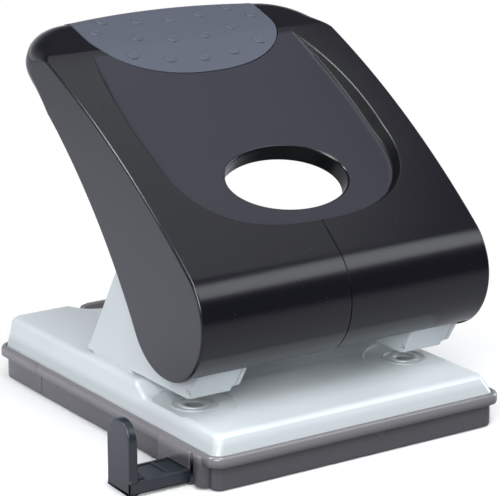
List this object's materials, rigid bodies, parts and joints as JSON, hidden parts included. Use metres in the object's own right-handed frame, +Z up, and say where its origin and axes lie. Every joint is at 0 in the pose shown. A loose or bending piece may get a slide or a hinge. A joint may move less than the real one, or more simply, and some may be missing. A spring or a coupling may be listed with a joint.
{
  "type": "heavy duty hole punch",
  "caption": "Lever paper punch: painted steel base on a chip tray, sheet-steel brackets, sprung pins and dies, long moulded lever with an oval hole and grip pad, sliding paper guide.",
  "frame": {"origin": "on the surface that the punch stands on, below the middle of the line joining the two holes", "axes": "+X to the right seen from the paper side, +Y from the paper side towards the free end of the lever, +Z up"},
  "size_m": [0.1302, 0.1335, 0.1204],
  "materials": {
    "grey_paint": "smooth light grey stove enamel",
    "hard_steel": "ground tool steel",
    "plated_steel": "zinc-plated steel",
    "spring_steel": "oiled spring steel",
    "bush_brass": "turned brass",
    "black_plastic": "black moulded plastic, satin to semi-gloss",
    "pad_rubber": "soft grey-blue grip with raised dots",
    "smoky_plastic": "smoky see-through grey plastic",
    "slate_plastic": "dark slate moulded plastic"
  },
  "bodies": {
    "base": {"base_plate": "grey_paint", "die_left": "hard_steel", "die_right": "hard_steel", "bracket_left": "grey_paint", "bracket_right": "grey_paint", "bracket_rivets": "plated_steel", "guide_bush_left": "bush_brass", "guide_bush_right": "bush_brass", "lever_axle": "plated_steel", "axle_clips": "spring_steel", "chip_tray": "smoky_plastic", "punch_spring_left": "spring_steel", "punch_spring_right": "spring_steel"},
    "lever": {"lever_cover": "black_plastic", "grip_pad": "pad_rubber", "lever_arm_left": "plated_steel", "lever_arm_right": "plated_steel", "cover_screws": "plated_steel"},
    "left_punch": {"punch_pin_left": "hard_steel", "drive_pin_left": "plated_steel", "spring_collar_left": "plated_steel"},
    "right_punch": {"punch_pin_right": "hard_steel", "drive_pin_right": "plated_steel", "spring_collar_right": "plated_steel"},
    "guide": {"paper_guide": "slate_plastic"},
    "door": {"chip_door": "smoky_plastic"}
  },
  "joints": [
    {"name": "lever_press", "type": "hinge", "parent": "base", "child": "lever", "pos_m": [0, -0.015, 0.048], "axis": [-1, 0, 0], "range_deg": [0, 28], "stiffness_Nm_per_rad": 0.6, "springref_deg": -28.65},
    {"name": "punch_left", "type": "slide", "parent": "base", "child": "left_punch", "axis": [0, 0, -1], "range_m": [0, 0.0076], "deforming": ["punch_spring_left"]},
    {"name": "punch_right", "type": "slide", "parent": "base", "child": "right_punch", "axis": [0, 0, -1], "range_m": [0, 0.0076], "deforming": ["punch_spring_right"]},
    {"name": "paper_guide_slide", "type": "slide", "parent": "base", "child": "guide", "axis": [-1, 0, 0], "range_m": [-0.014, 0.06]},
    {"name": "chip_door_hinge", "type": "hinge", "parent": "base", "child": "door", "pos_m": [0, 0.0756, 0.0024], "axis": [-1, 0, 0], "range_deg": [0, 50]}
  ],
  "couplings": [
    {"joint": "punch_left", "follows": "lever_press", "m_per_rad": 0.015347},
    {"joint": "punch_right", "follows": "lever_press", "m_per_rad": 0.015347}
  ]
}
